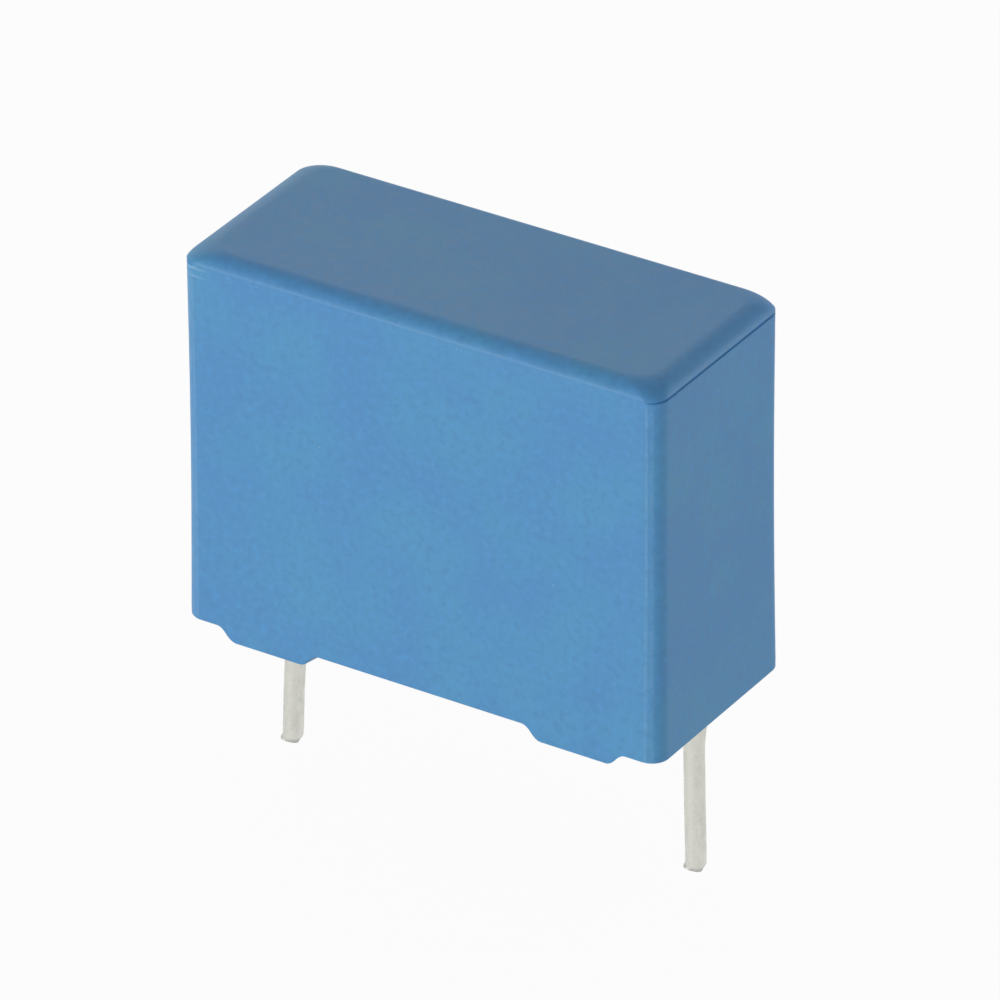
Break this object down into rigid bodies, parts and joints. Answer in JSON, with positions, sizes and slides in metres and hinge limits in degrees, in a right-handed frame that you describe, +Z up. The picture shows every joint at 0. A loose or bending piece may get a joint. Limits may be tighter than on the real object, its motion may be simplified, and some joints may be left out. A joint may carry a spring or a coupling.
{
  "type": "box film capacitor",
  "caption": "Resin-sealed plastic box film capacitor with radial tinned wire leads, for through-hole mounting on a circuit board.",
  "frame": {"origin": "midway between the two leads, on the board's top face, which is the plane of the feet", "axes": "+Z up away from the board, +X along the row of leads towards the right-hand lead, +Y through the thickness towards the back"},
  "size_m": [0.0266, 0.0112, 0.0296],
  "materials": {
    "case_plastic": "fine matt moulded plastic, mid blue",
    "resin": "cast epoxy, dull grey-blue, smooth",
    "metallised_film": "tightly wound metallised plastic film",
    "sprayed_metal": "rough grey arc-sprayed metal",
    "tinned_wire": "satin tin plating"
  },
  "bodies": {
    "root": {"case": "case_plastic", "potting_resin": "resin", "film_winding": "metallised_film", "end_contact_left": "sprayed_metal", "end_contact_right": "sprayed_metal", "lead_left": "tinned_wire", "lead_right": "tinned_wire"}
  },
  "joints": []
}
